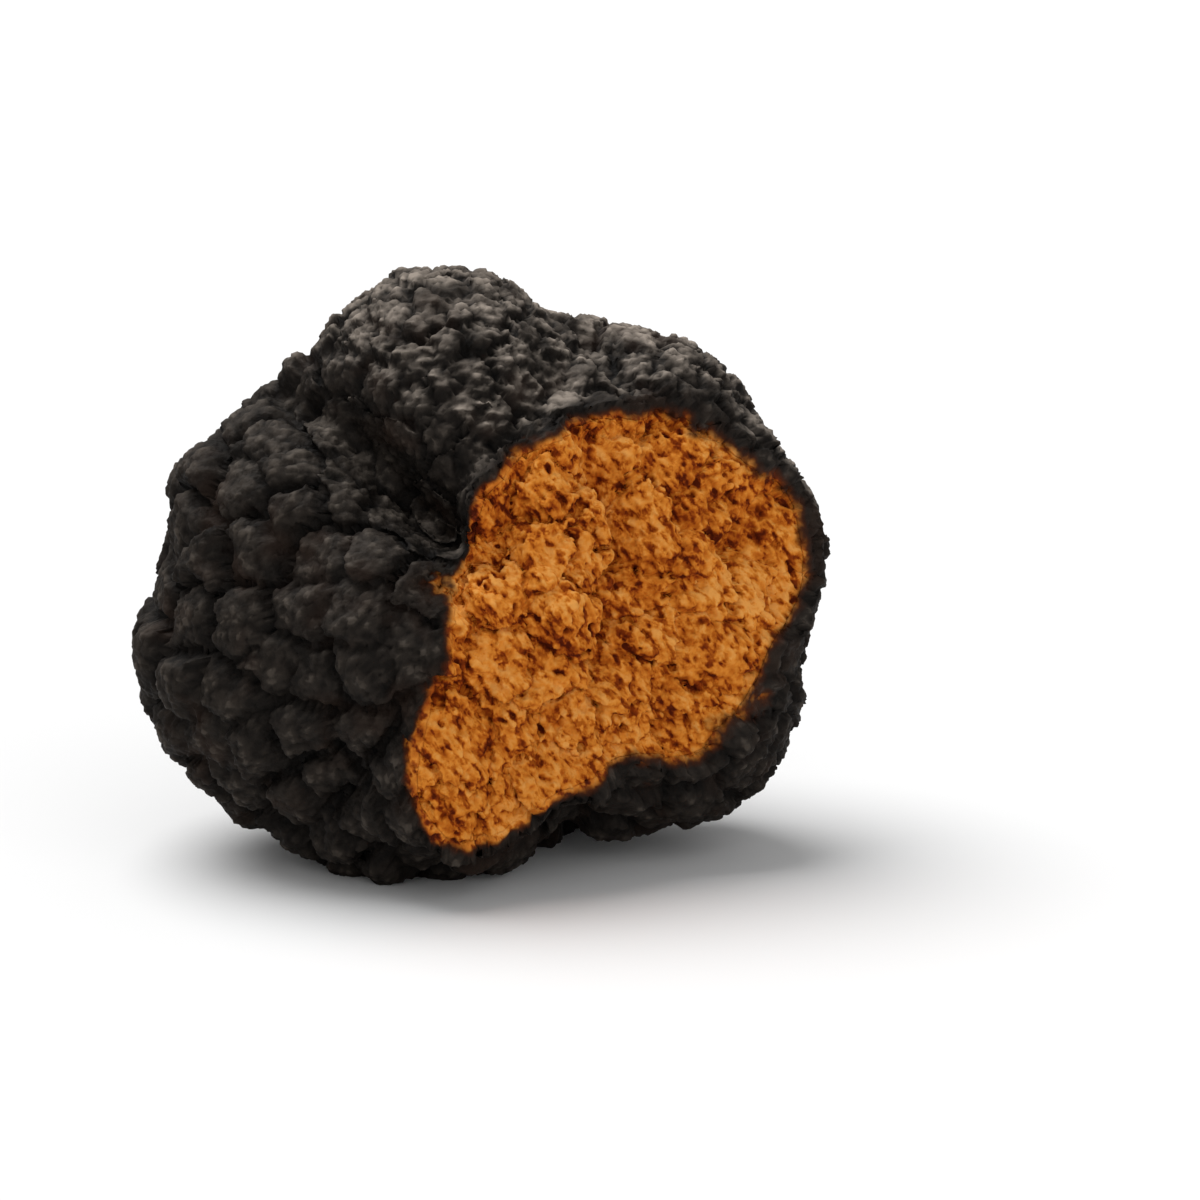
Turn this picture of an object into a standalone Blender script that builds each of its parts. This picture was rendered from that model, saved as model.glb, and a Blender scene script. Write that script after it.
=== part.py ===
"""A broken-off chunk of chaga: a black cracked crust round a rust-brown corky core.

The crust is open where the chunk broke away from the rest of the conk, and the core shows there as a
rough face. Both pieces come from one body: rounded lobes that all hold one point, the heart, so that each
direction from the heart meets each surface once. A reach is how far a direction goes from the heart to a
surface. Units are metres, +Z up. The shapes are set out round the heart's foot point, and the pieces are
then moved so that the origin is the chunk's bottom centre.
"""

import math

import bmesh
import bpy
import numpy as np
from mathutils import Vector, kdtree, noise

# The noise: how fast its finer features fall off in height, and how much finer each octave is
NOISE_FALL = 0.6
NOISE_STEP = 2.0

# The body
HEART = np.array((0.0, 0.0, 0.066))
MIDDLE = Vector((-0.0013, 0.0059, 0.0))  # the chunk's bottom centre
LOBES = (  # the tip of each lobe, and its half width
    # front lobes, which the broken face cuts through
    ((0.0680, -0.0530, 0.0715), 0.0405),
    ((0.0300, -0.0700, 0.0360), 0.0300),
    ((0.0040, -0.0880, 0.0050), 0.0205),
    ((0.0130, -0.0590, 0.0940), 0.0150),
    # top
    ((-0.017, 0.014, 0.1340), 0.0345),
    ((-0.045, 0.008, 0.1120), 0.029),
    ((0.028, 0.020, 0.1200), 0.028),
    # left
    ((-0.074, 0.010, 0.0300), 0.043),
    ((-0.070, 0.010, 0.0790), 0.036),
    ((-0.040, -0.033, 0.0400), 0.035),
    # foot
    ((-0.008, -0.047, 0.0150), 0.027),
    ((-0.016, -0.015, -0.0010), 0.031),
    ((-0.036, -0.007, -0.0005), 0.033),
    ((0.008, 0.036, -0.0005), 0.032),
    # right
    ((0.0775, 0.012, 0.0700), 0.040),
    ((0.058, 0.026, 0.1040), 0.038),
    ((0.067, 0.015, 0.0215), 0.039),
    # back
    ((-0.045, 0.050, 0.0460), 0.042),
    ((0.034, 0.052, 0.0920), 0.036),
)
LOBE_BACK = 0.012  # how far a lobe runs on behind the heart
LOBE_BLEND = 0.0016
CLEFTS = (  # the ends of each furrow between lobes, its half width and its height
    ((-0.047, -0.004, 0.110), (-0.036, -0.016, 0.107), 0.0055, -0.009),
    ((-0.036, -0.016, 0.107), (-0.030, -0.021, 0.103), 0.0060, -0.013),
    ((-0.030, -0.021, 0.103), (-0.021, -0.027, 0.093), 0.0065, -0.016),
    ((-0.021, -0.027, 0.093), (-0.012, -0.033, 0.085), 0.0065, -0.017),
    ((-0.012, -0.033, 0.085), (-0.004, -0.040, 0.083), 0.0060, -0.013),
    ((0.024, 0.007, 0.123), (0.034, -0.010, 0.113), 0.0045, -0.005),
)

# The broken face
FACE_POINT = np.array((0.029, -0.030, 0.060))
FACE_NORMAL = np.array((0.43, -0.89, 0.12))
FACE_RADIUS = 0.30
FACE_FORMS = (  # the ends of each ridge or hollow, its half width and its height
    ((0.036, -0.031, 0.028), (0.048, -0.026, 0.030), 0.0085, -0.007),
    ((0.019, -0.028, 0.108), (0.030, -0.022, 0.094), 0.0045, -0.004),
    ((0.030, -0.023, 0.094), (0.034, -0.023, 0.074), 0.0040, -0.006),
    ((0.034, -0.023, 0.074), (0.028, -0.031, 0.052), 0.0040, -0.005),
    ((0.008, -0.038, 0.092), (0.014, -0.038, 0.072), 0.0120, 0.003),
    ((-0.016, -0.051, 0.060), (-0.004, -0.047, 0.040), 0.0110, 0.004),
    ((-0.012, -0.050, 0.036), (-0.004, -0.050, 0.017), 0.0090, 0.004),
    ((-0.002, -0.046, 0.050), (0.001, -0.047, 0.038), 0.0030, -0.004),
    ((0.055, -0.013, 0.100), (0.068, -0.007, 0.078), 0.0100, 0.003),
    ((0.064, -0.018, 0.050), (0.062, -0.019, 0.028), 0.0100, 0.003),
)
FACE_SWELL = 0.0055  # height of the face's broad swells, and their size
FACE_SWELL_SIZE = 0.022
FACE_LUMP = 0.0016
FACE_LUMP_SIZE = 0.0075
FACE_LUMP_SHIFT = 1  # where in the noise the lumps are read, apart from the swells
CLOD_SPACING = 0.0120
CLOD_HEIGHT = 0.0038
CLOD_TILT = 0.22
CLOD_WARP = 0.0045  # how far the fissures between clods stray from straight lines
CLOD_WARP_SIZE = 0.009
CLOD_SPAN = 0.080  # how far round the face's middle its clods reach
CLOD_SEED = 3

# The rim, where the face breaks through the crust: there is no break under the first depth, all of it
# past the second
RIM_FROM = 0.0010
RIM_TO = 0.0030
RIM_RAGGED = 0.0012
RIM_RAGGED_SIZE = 0.006
RIM_PROUD = 0.0020  # the most that the crust stands out past the face

# The crust
CRUST_THICKNESS = 0.0042
GAP = 0.0004  # between crust and core
NODULE_SPACING = 0.0092
NODULE_SPREAD = 0.27  # share by which nodules are wider low on the left, and finer high on the right
NODULE_SPREAD_OVER = 0.040
NODULE_SEED = 11
NODULE_HEIGHT = 0.32  # dome height, as a share of the spacing
NODULE_FLATTER = 0.35  # share by which domes are higher low on the left, and flatter high on the right
NODULE_VARY = 0.35
NODULE_TILT = 0.20
NODULE_SINK = 0.13  # how deep the cracks lie under the smooth body, as a share of the spacing
CLUSTER_SPACING = 0.018  # how far apart the middles of clusters of nodules are
CLEFT_CALM = 0.010  # depth of a cleft at which its nodules are down to a third
WARP = 0.0028  # how far the cracks stray from straight lines
WARP_SIZE = 0.009
WARP_SHIFTS = (0, 1, 2)  # where in the noise each axis of the warp is read

# The domes that nodules and clods are made of
DOME_ROUND = 0.50  # the width of a dome's shoulder, as a share of the spacing
DOME_JOIN = 0.06  # how shallow the cracks inside a cluster are, as a share of the spacing
NEIGHBOURS = 6
CORNER_POWER = 4  # a lower power rounds the domes' corners more
LEAST_EDGE = 1e-7  # keeps the distance to a crack above zero

# The foot
FOOT_THICKNESS = 0.004  # the crust's least thickness over the surface that the chunk rests on
SLAB = 0.3

# The meshes
STEEPEST = 0.35  # least share of a wall's thickness that counts along a steep direction
STEEPEST_CRUST = 0.75
PAST_FACE = 0.014  # how far the cutter of the crust's inside stands out of the broken face
BODY_SUBDIVISIONS = 7
BODY_TRIANGLES = 11200
INSIDE_SUBDIVISIONS = 6
INSIDE_TRIANGLES = 1400
SHARP_ANGLE = 40

# The looks
CRUST_COLOUR = (0.018, 0.016, 0.014, 1.0)
CRUST_ROUGHNESS = 0.75
CORE_COLOUR = (0.48, 0.18, 0.035, 1.0)
CORE_ROUGHNESS = 0.9


def noise_at(points, size, octaves=2):
    """Smooth noise, from about -1 to 1, with features of the given size."""
    return np.array([noise.fractal(Vector(p), NOISE_FALL, NOISE_STEP, octaves) for p in points / size])


def along_line(points, start, end, width, height):
    """A soft ridge along a line or, where the height is negative, a soft furrow."""
    start, end = np.array(start), np.array(end)
    run = end - start
    share = np.clip((points - start) @ run / (run @ run), 0, 1)
    distance = np.linalg.norm(points - start - share[:, None] * run, axis=1)
    return height * np.exp(-((distance / width) ** 2))


def smooth_step(value, low, high):
    share = np.clip((value - low) / (high - low), 0, 1)
    return share * share * (3 - 2 * share)


def lobe_reach(directions, tip, half_width):
    """The reach of an egg that holds the heart and ends at the tip."""
    axis = np.array(tip) - HEART
    length = np.linalg.norm(axis)
    half_length = max(half_width, (length + LOBE_BACK) / 2)
    back = length - half_length
    along = directions @ axis / length
    a = (along / half_length) ** 2 + (1 - along**2) / half_width**2
    b = -along * back / half_length**2
    c = (back / half_length) ** 2 - 1
    return (-b + np.sqrt(b**2 - a * c)) / a


def cleft_height(points):
    """How far the clefts lower the body there, as a height below zero."""
    return np.min([along_line(points, *cleft) for cleft in CLEFTS], axis=0)


def body_reach(directions):
    """The reach of the unbroken body, without its nodules."""
    reaches = np.array([lobe_reach(directions, tip, half_width) for tip, half_width in LOBES])
    top = reaches.max(axis=0)
    reach = top + LOBE_BLEND * np.log(np.exp((reaches - top) / LOBE_BLEND).sum(axis=0))
    return reach + cleft_height(HEART + directions * reach[:, None])


def face_middle(directions):
    """The reach of the face before its forms: part of a very large ball."""
    normal = FACE_NORMAL / np.linalg.norm(FACE_NORMAL)
    offset = FACE_POINT - FACE_RADIUS * normal - HEART
    along = directions @ offset
    return along + np.sqrt(along**2 + FACE_RADIUS**2 - offset @ offset)


def clod_relief(points, clods):
    """Height of the clods over the face, each one tilted its own way."""
    spacing = np.full(len(points), CLOD_SPACING)
    strayed = warped(points, CLOD_WARP, CLOD_WARP_SIZE, 3)
    rise, cell = domes(strayed, clods, spacing, np.arange(len(clods)))
    tilt = CLOD_TILT * np.random.default_rng(CLOD_SEED).uniform(-1, 1, (len(clods), 3))
    slope = ((points - clods[cell]) * tilt[cell]).sum(axis=1)
    return CLOD_HEIGHT * (rise - 1) + slope * rise


def face_reach(directions, clods):
    """The reach of the rough broken face, with its ridges and hollows, its swells, its lumps and clods."""
    reach = face_middle(directions)
    points = HEART + directions * reach[:, None]
    reach += sum(along_line(points, *form) for form in FACE_FORMS)
    reach += FACE_SWELL * noise_at(points, FACE_SWELL_SIZE)
    reach += FACE_LUMP * noise_at(points + FACE_LUMP_SHIFT, FACE_LUMP_SIZE, octaves=3)
    return reach + clod_relief(points, clods)


def place_share(points):
    """From -1 low on the left to 1 high on the right."""
    return np.clip((points[:, 2] - HEART[2] + points[:, 0]) / NODULE_SPREAD_OVER, -1, 1)


def nodule_spacing(points):
    """How far apart nodules are: widest low on the left, finest high on the right."""
    return NODULE_SPACING * (1 - NODULE_SPREAD * place_share(points))


def scattered(points, spacings, seed):
    """Points spread over the body, no two nearer than the spacing there."""
    order = np.random.default_rng(seed).permutation(len(points))
    seeds = points[order[:1]]
    for point, spacing in zip(points[order], spacings[order]):
        if ((seeds - point) ** 2).sum(axis=1).min() > spacing**2:
            seeds = np.vstack([seeds, point])
    return seeds


def tree_of(points):
    tree = kdtree.KDTree(len(points))
    for index, point in enumerate(points):
        tree.insert(point, index)
    tree.balance()
    return tree


def warped(points, height=WARP, size=WARP_SIZE, octaves=2):
    """The points moved to and fro by noise."""
    shifts = [noise_at(points + shift, size, octaves) for shift in WARP_SHIFTS]
    return points + height * np.stack(shifts, axis=1)


def domes(points, seeds, spacing, groups):
    """How high each point is on the dome round its nearest seed, from 0 in the crack round it to 1 on top,
    and which dome that is. Cracks between domes of one group are shallow."""
    tree = tree_of(seeds)
    found = [tree.find_n(p, NEIGHBOURS) for p in points]
    near = np.array([[index for _, index, _ in row] for row in found])
    distance = np.array([[far for _, _, far in row] for row in found])
    apart = np.linalg.norm(seeds[near[:, 1:]] - seeds[near[:, :1]], axis=2)
    edges = (distance[:, 1:] ** 2 - distance[:, :1] ** 2) / (2 * apart)
    joined = groups[near[:, 1:]] == groups[near[:, :1]]
    edges = np.maximum(edges, LEAST_EDGE) + DOME_JOIN * spacing[:, None] * joined
    edge = (edges**-CORNER_POWER).sum(axis=1) ** (-1 / CORNER_POWER)
    rise = np.sqrt(1 - (1 - np.minimum(edge / (DOME_ROUND * spacing), 1)) ** 2)
    return rise, near[:, 0]


def nodule_relief(points, seeds):
    """Height of the crust over the body: a tilted dome for each nodule, with cracks between. The cracks are
    deepest between clusters, and the nodules lowest in the clefts."""
    order = np.random.default_rng(NODULE_SEED)
    clusters = tree_of(scattered(seeds, np.full(len(seeds), CLUSTER_SPACING), NODULE_SEED))
    groups = np.array([clusters.find(seed)[1] for seed in seeds])
    spacing = nodule_spacing(points)
    rise, cell = domes(warped(points), seeds, spacing, groups)
    vary = 1 + NODULE_VARY * order.uniform(-1, 1, len(seeds))
    tilt = NODULE_TILT * order.uniform(-1, 1, (len(seeds), 3))
    height = NODULE_HEIGHT * (1 - NODULE_FLATTER * place_share(points)) * vary[cell] * spacing
    slope = ((points - seeds[cell]) * tilt[cell]).sum(axis=1)
    calm = 1 / (1 + 2 * (cleft_height(points) / CLEFT_CALM) ** 2)
    return calm * ((height + slope) * rise - NODULE_SINK * spacing)


def ball(subdivisions):
    """A unit sphere of triangles, and its vertices as directions."""
    bm = bmesh.new()
    bmesh.ops.create_icosphere(bm, subdivisions=subdivisions, radius=1)
    directions = np.array([v.co for v in bm.verts])
    return bm, directions / np.linalg.norm(directions, axis=1)[:, None]


def place(bm, points):
    for vert, point in zip(bm.verts, points):
        vert.co = point
    bm.normal_update()


def mesh_object(name, bm):
    mesh = bpy.data.meshes.new(name)
    bm.to_mesh(mesh)
    bm.free()
    obj = bpy.data.objects.new(name, mesh)
    bpy.context.scene.collection.objects.link(obj)
    return obj


def smooth_body(bm, directions):
    """The smooth body's reach, its points, and how squarely each direction meets it."""
    reach = body_reach(directions)
    points = HEART + directions * reach[:, None]
    place(bm, points)
    normals = np.array([v.normal for v in bm.verts])
    return reach, points, np.clip((normals * directions).sum(axis=1), STEEPEST, 1)


def middles():
    """The middles of the crust's nodules, and those of the face's clods."""
    bm, directions = ball(BODY_SUBDIVISIONS)
    bm.free()
    body = HEART + directions * body_reach(directions)[:, None]
    face = HEART + directions * face_middle(directions)[:, None]
    face = face[np.linalg.norm(face - FACE_POINT, axis=1) < CLOD_SPAN]
    nodules = scattered(body, nodule_spacing(body), NODULE_SEED)
    return nodules, scattered(face, np.full(len(face), CLOD_SPACING), CLOD_SEED)


def whole_chunk(nodules, clods):
    """Crust and face in one: nodules where it is crust, the face where it broke, a ragged rim between."""
    bm, directions = ball(BODY_SUBDIVISIONS)
    reach, points, facing = smooth_body(bm, directions)
    outside = reach + nodule_relief(points, nodules) / np.maximum(facing, STEEPEST_CRUST)
    face = face_reach(directions, clods)
    outside = np.minimum(outside, np.maximum(face, reach) + RIM_PROUD)
    ragged = RIM_RAGGED * noise_at(HEART + directions * face[:, None], RIM_RAGGED_SIZE)
    broken = smooth_step(reach - face + ragged, RIM_FROM, RIM_TO)
    chunk = outside + broken * (np.minimum(outside, face) - outside)
    place(bm, HEART + directions * chunk[:, None])
    return mesh_object("chunk", bm)


def inside_of_crust():
    """The space that the crust holds. It stands out of the broken face, so that it opens the crust there."""
    bm, directions = ball(INSIDE_SUBDIVISIONS)
    reach, _, facing = smooth_body(bm, directions)
    inside = np.minimum(reach - CRUST_THICKNESS / facing, face_middle(directions) + PAST_FACE)
    points = HEART + directions * inside[:, None]
    low = points[:, 2] < FOOT_THICKNESS
    share = (HEART[2] - FOOT_THICKNESS) / (HEART[2] - points[low, 2])
    points[low] = HEART + (points[low] - HEART) * share[:, None]
    place(bm, points)
    return mesh_object("inside", bm)


def floor_slab():
    """A block under the surface that the chunk rests on."""
    bm = bmesh.new()
    bmesh.ops.create_cube(bm, size=SLAB)
    bmesh.ops.translate(bm, verts=bm.verts, vec=(0, 0, -SLAB / 2))
    return mesh_object("slab", bm)


def apply_modifier(obj, kind, **settings):
    modifier = obj.modifiers.new(kind, kind)
    for key, value in settings.items():
        setattr(modifier, key, value)
    bpy.context.view_layer.update()
    graph = bpy.context.evaluated_depsgraph_get()
    mesh = bpy.data.meshes.new_from_object(obj.evaluated_get(graph))
    obj.modifiers.clear()
    obj.data = mesh


def decimate(obj, triangles):
    ratio = triangles / len(obj.data.polygons)
    apply_modifier(obj, "DECIMATE", ratio=ratio, use_collapse_triangulate=True)


def boolean(obj, other, operation):
    apply_modifier(obj, "BOOLEAN", object=other, operation=operation, solver="EXACT")


def copy_of(obj, name):
    copy = bpy.data.objects.new(name, obj.data.copy())
    bpy.context.scene.collection.objects.link(copy)
    return copy


def shrink(obj, distance):
    """Moves the surface inwards by the distance. Each vertex moves straight to the heart, so none crosses."""
    normals = [v.normal.copy() for v in obj.data.vertices]
    for vert, normal in zip(obj.data.vertices, normals):
        direction = (vert.co - Vector(HEART)).normalized()
        vert.co -= direction * distance / max(direction.dot(normal), STEEPEST)


def island_of(first):
    """All the vertices that edges join to this one."""
    island, queue = {first}, [first]
    while queue:
        vert = queue.pop()
        joined = {edge.other_vert(vert) for edge in vert.link_edges} - island
        island |= joined
        queue.extend(joined)
    return island


def drop_scraps(obj):
    """Keeps the largest body, and drops any crumb that a cut left loose beside it."""
    bm = bmesh.new()
    bm.from_mesh(obj.data)
    left = set(bm.verts)
    islands = []
    while left:
        islands.append(island_of(next(iter(left))))
        left -= islands[-1]
    islands.remove(max(islands, key=len))
    for island in islands:
        bmesh.ops.delete(bm, geom=list(island), context="VERTS")
    bm.to_mesh(obj.data)
    bm.free()


def finish(obj, name, colour, roughness):
    """Names the piece, gives it its material and shades it."""
    drop_scraps(obj)
    obj.location = -MIDDLE
    obj.name = name
    obj.data.name = name
    made = bpy.data.materials.new(name)
    made.use_nodes = True
    shader = made.node_tree.nodes["Principled BSDF"]
    shader.inputs["Base Color"].default_value = colour
    shader.inputs["Roughness"].default_value = roughness
    shader.inputs["Metallic"].default_value = 0.0
    obj.data.materials.clear()
    obj.data.materials.append(made)
    obj.data.shade_smooth()
    obj.data.set_sharp_from_angle(angle=math.radians(SHARP_ANGLE))


def main():
    for obj in list(bpy.data.objects):
        bpy.data.objects.remove(obj)

    nodules, clods = middles()
    crust = whole_chunk(nodules, clods)
    decimate(crust, BODY_TRIANGLES)
    slab = floor_slab()
    boolean(crust, slab, "DIFFERENCE")

    inside = inside_of_crust()
    decimate(inside, INSIDE_TRIANGLES)
    core = copy_of(crust, "core")
    boolean(crust, inside, "DIFFERENCE")
    shrink(inside, GAP)
    boolean(core, inside, "INTERSECT")

    for helper in (slab, inside):
        bpy.data.objects.remove(helper)
    finish(crust, "crust", CRUST_COLOUR, CRUST_ROUGHNESS)
    finish(core, "core", CORE_COLOUR, CORE_ROUGHNESS)


if __name__ == "__main__":
    main()
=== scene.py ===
"""A chunk of chaga dressed for its picture: its fine cracked crust and crumbly core, a floor, light and a
camera.

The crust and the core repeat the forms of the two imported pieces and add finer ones. Units are metres, +Z
up. The forms are worked out round the heart's foot point, and moved to the row's frame at the end.
"""

import math

import bmesh
import bpy
import numpy as np
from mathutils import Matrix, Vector, kdtree, noise


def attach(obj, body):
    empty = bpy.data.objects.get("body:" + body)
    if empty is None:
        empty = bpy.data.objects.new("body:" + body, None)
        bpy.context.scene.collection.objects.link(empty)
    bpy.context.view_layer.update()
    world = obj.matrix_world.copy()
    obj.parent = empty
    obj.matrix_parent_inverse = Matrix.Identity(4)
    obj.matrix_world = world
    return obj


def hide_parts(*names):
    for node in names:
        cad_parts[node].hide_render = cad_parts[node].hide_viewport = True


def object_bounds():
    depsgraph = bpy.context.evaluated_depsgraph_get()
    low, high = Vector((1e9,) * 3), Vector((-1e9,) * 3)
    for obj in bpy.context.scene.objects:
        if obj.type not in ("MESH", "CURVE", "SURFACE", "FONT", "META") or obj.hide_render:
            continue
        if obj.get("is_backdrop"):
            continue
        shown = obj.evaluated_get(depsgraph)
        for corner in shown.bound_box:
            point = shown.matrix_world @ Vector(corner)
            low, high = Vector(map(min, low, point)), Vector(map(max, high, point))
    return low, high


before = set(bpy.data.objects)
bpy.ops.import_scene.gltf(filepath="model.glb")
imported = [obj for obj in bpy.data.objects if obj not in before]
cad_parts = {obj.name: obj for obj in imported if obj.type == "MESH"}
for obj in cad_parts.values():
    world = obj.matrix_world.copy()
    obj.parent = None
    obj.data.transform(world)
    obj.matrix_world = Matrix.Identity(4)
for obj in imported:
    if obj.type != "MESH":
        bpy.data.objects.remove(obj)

CAD_LOW, CAD_HIGH = (tuple(corner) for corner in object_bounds())
MILLIMETRES = 1000  # in a metre; the materials are told depths in millimetres

# The noise: how fast its finer features fall off in height, and how much finer each octave is
NOISE_FALL = 0.6
NOISE_STEP = 2.0

# The body
HEART = np.array((0.0, 0.0, 0.066))  # the point that every reach is measured from
MIDDLE = np.array((-0.0013, 0.0059, 0.0))  # the chunk's bottom centre
LOBES = (  # the tip of each lobe, and its half width
    # front lobes, which the broken face cuts through
    ((0.0680, -0.0530, 0.0715), 0.0405),
    ((0.0300, -0.0700, 0.0360), 0.0300),
    ((0.0040, -0.0880, 0.0050), 0.0205),
    ((0.0130, -0.0590, 0.0940), 0.0150),
    # top
    ((-0.017, 0.014, 0.1340), 0.0345),
    ((-0.045, 0.008, 0.1120), 0.029),
    ((0.028, 0.020, 0.1200), 0.028),
    # left
    ((-0.074, 0.010, 0.0300), 0.043),
    ((-0.070, 0.010, 0.0790), 0.036),
    ((-0.040, -0.033, 0.0400), 0.035),
    # foot
    ((-0.008, -0.047, 0.0150), 0.027),
    ((-0.016, -0.015, -0.0010), 0.031),
    ((-0.036, -0.007, -0.0005), 0.033),
    ((0.008, 0.036, -0.0005), 0.032),
    # right
    ((0.0775, 0.012, 0.0700), 0.040),
    ((0.058, 0.026, 0.1040), 0.038),
    ((0.067, 0.015, 0.0215), 0.039),
    # back
    ((-0.045, 0.050, 0.0460), 0.042),
    ((0.034, 0.052, 0.0920), 0.036),
)
LOBE_BACK = 0.012  # how far a lobe runs on behind the heart
LOBE_BLEND = 0.0016  # how softly lobes run into each other
CLEFTS = (  # the ends of each furrow between lobes, its half width and its height
    ((-0.047, -0.004, 0.110), (-0.036, -0.016, 0.107), 0.0055, -0.009),
    ((-0.036, -0.016, 0.107), (-0.030, -0.021, 0.103), 0.0060, -0.013),
    ((-0.030, -0.021, 0.103), (-0.021, -0.027, 0.093), 0.0065, -0.016),
    ((-0.021, -0.027, 0.093), (-0.012, -0.033, 0.085), 0.0065, -0.017),
    ((-0.012, -0.033, 0.085), (-0.004, -0.040, 0.083), 0.0060, -0.013),
    ((0.024, 0.007, 0.123), (0.034, -0.010, 0.113), 0.0045, -0.005),
    ((-0.018, -0.046, 0.078), (-0.011, -0.048, 0.075), 0.0040, -0.004),
)

# The broken face
FACE_POINT = np.array((0.029, -0.030, 0.060))
FACE_NORMAL = np.array((0.43, -0.89, 0.12))
FACE_RADIUS = 0.30  # the face bulges as part of a ball this large
FACE_FORMS = (  # the ends of each ridge or hollow, its half width and its height
    ((0.036, -0.031, 0.028), (0.048, -0.026, 0.030), 0.0085, -0.007),
    ((0.019, -0.028, 0.108), (0.030, -0.022, 0.094), 0.0045, -0.004),
    ((0.030, -0.023, 0.094), (0.034, -0.023, 0.074), 0.0040, -0.006),
    ((0.034, -0.023, 0.074), (0.028, -0.031, 0.052), 0.0040, -0.005),
    ((0.008, -0.038, 0.092), (0.014, -0.038, 0.072), 0.0120, 0.003),
    ((-0.016, -0.051, 0.060), (-0.004, -0.047, 0.040), 0.0110, 0.004),
    ((-0.012, -0.050, 0.036), (-0.004, -0.050, 0.017), 0.0090, 0.004),
    ((-0.002, -0.046, 0.050), (0.001, -0.047, 0.038), 0.0030, -0.004),
    ((0.055, -0.013, 0.100), (0.068, -0.007, 0.078), 0.0100, 0.003),
    ((0.064, -0.018, 0.050), (0.062, -0.019, 0.028), 0.0100, 0.003),
)
FACE_SWELL = 0.0055  # height of the face's broad swells, and their size
FACE_SWELL_SIZE = 0.022
FACE_LUMP = 0.0016  # height of the smaller lumps on them, and their size
FACE_LUMP_SIZE = 0.0075
FACE_LUMP_SHIFT = 1  # where in the noise the lumps are read, apart from the swells
CLOD_SPACING = 0.0120
CLOD_HEIGHT = 0.0038
CLOD_TILT = 0.22  # how steep a clod's top may lean, as a slope
CLOD_WARP = 0.0045  # how far the fissures between clods stray from straight lines
CLOD_WARP_SIZE = 0.009
CLOD_SPAN = 0.080  # how far round the face's middle its clods reach
CLOD_SEED = 3

# The rim, where the face breaks through the crust: there is no break under the first depth, all of it
# past the second
RIM_FROM = 0.0010
RIM_TO = 0.0030
RIM_RAGGED = 0.0020  # how far noise moves those depths, and the size of its features
RIM_RAGGED_SIZE = 0.006
RIM_PROUD = 0.0010  # the most that the crust stands out past the face

# The crust
CRUST_THICKNESS = 0.0042
GAP = 0.0001  # between crust and core
NODULE_SPACING = 0.0092
NODULE_SPREAD = 0.27  # share by which nodules are wider low on the left, and finer high on the right
NODULE_SPREAD_OVER = 0.040  # the way right and the way up from the heart that together give all of it
NODULE_SEED = 11
NODULE_HEIGHT = 0.32  # dome height, as a share of the spacing
NODULE_FLATTER = 0.35  # share by which domes are higher low on the left, and flatter high on the right
NODULE_VARY = 0.35  # share by which a nodule may be higher or lower than its neighbours
NODULE_TILT = 0.20  # how steep its top may lean, as a slope
NODULE_SINK = 0.13  # how deep the cracks lie under the smooth body, as a share of the spacing
CLUSTER_SPACING = 0.018  # how far apart the middles of clusters of nodules are
CLEFT_CALM = 0.010  # depth of a cleft at which its nodules are down to a third
WARP = 0.0028  # how far the cracks stray from straight lines
WARP_SIZE = 0.009
WARP_SHIFTS = (0, 1, 2)  # where in the noise each axis of the warp is read

# The domes that nodules and clods are made of
DOME_ROUND = 0.50  # the width of a dome's shoulder, as a share of the spacing
DOME_JOIN = 0.06  # how shallow the cracks inside a cluster are, as a share of the spacing
NEIGHBOURS = 6  # how many of the nearest domes a point is compared with
CORNER_POWER = 4  # a lower power rounds the domes' corners more
LEAST_EDGE = 1e-7  # keeps the distance to a crack above zero

# The crust's finer forms
KNOB_SHARE = 0.42  # the spacing of the knobs on a nodule, as a share of the nodules' spacing
KNOB_SEED = 5
KNOB_HEIGHT = 0.16  # as a share of their spacing
KNOB_TALLER = 0.5  # share by which knobs are lower low on the left, and higher high on the right
CRACK_DEPTH = 0.0013
CRACK_WIDTH = 0.0006
GRIT = 0.00060  # height of the small plates that grit is made of, and their size
GRIT_SIZE = 0.0026
PLATE_EDGE = 0.35  # how wide a plate's sloping edge is, as a share of its size
GRAIN = 0.00022
GRAIN_SIZE = 0.0009

# The core's finer forms
FIBRE = np.array((0.55, 0.20, -0.81))  # the way that the core's crumbs run
FIBRE_SHARE = 0.55  # how wide a crumb is, as a share of its length
CRUMB = 0.0009
CRUMB_MIDDLE = 0.5  # the level between the tops of crumbs and the gaps
CRUMB_SIZE = 0.0032
CRUMBLE = 0.00045  # height of the smaller crumbs
CRUMBLE_SIZE = 0.0014
PIT_DEPTH = 0.0012
PIT_SIZE = 0.0028
PIT_SHIFT = 3  # where in the noise the pits are read
PIT_FROM = 0.38  # the noise at a pit's edge, and at its bottom
PIT_TO = 0.75

# The crust's colour goes by a level. Nodules, the knobs on them and the grit on the knobs raise it, by
# these shares, so the level paints shade into the cracks and highlight onto the crowns
RISE_NODULE = 0.55
RISE_KNOB = 0.25
RISE_GRIT = 0.20
CRUST_LEVEL = -0.15
CRUST_SPECKLE = 0.4
CRUST_SPECKLE_SIZE = 0.0022
CLEFT_SHADE = -0.40  # painted shade: what a furrow adds to the level, darkening the crust down in it
CLEFT_SHADE_DEPTHS = (2.0, 12.0)  # it adds nothing at the first depth and all at the second, in millimetres
CRUST_COLOURS = (  # each at its level, from the cracks, black with painted shade, to the crowns, lighter with painted highlight
    (0.25, (0.0008, 0.0006, 0.0004)),
    (0.65, (0.0080, 0.0060, 0.0046)),
    (0.90, (0.0220, 0.0172, 0.0136)),
    (1.00, (0.0500, 0.0405, 0.0325)),
)
BROWN = (0.024, 0.012, 0.007)
BROWN_SHARE = 0.5
BROWN_SIZE = 0.014
BROWN_PATCHES = (0.50, 0.75)  # the noise at the edge of a brown patch, and in it
CRUST_ROUGHNESS = 0.70
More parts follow.
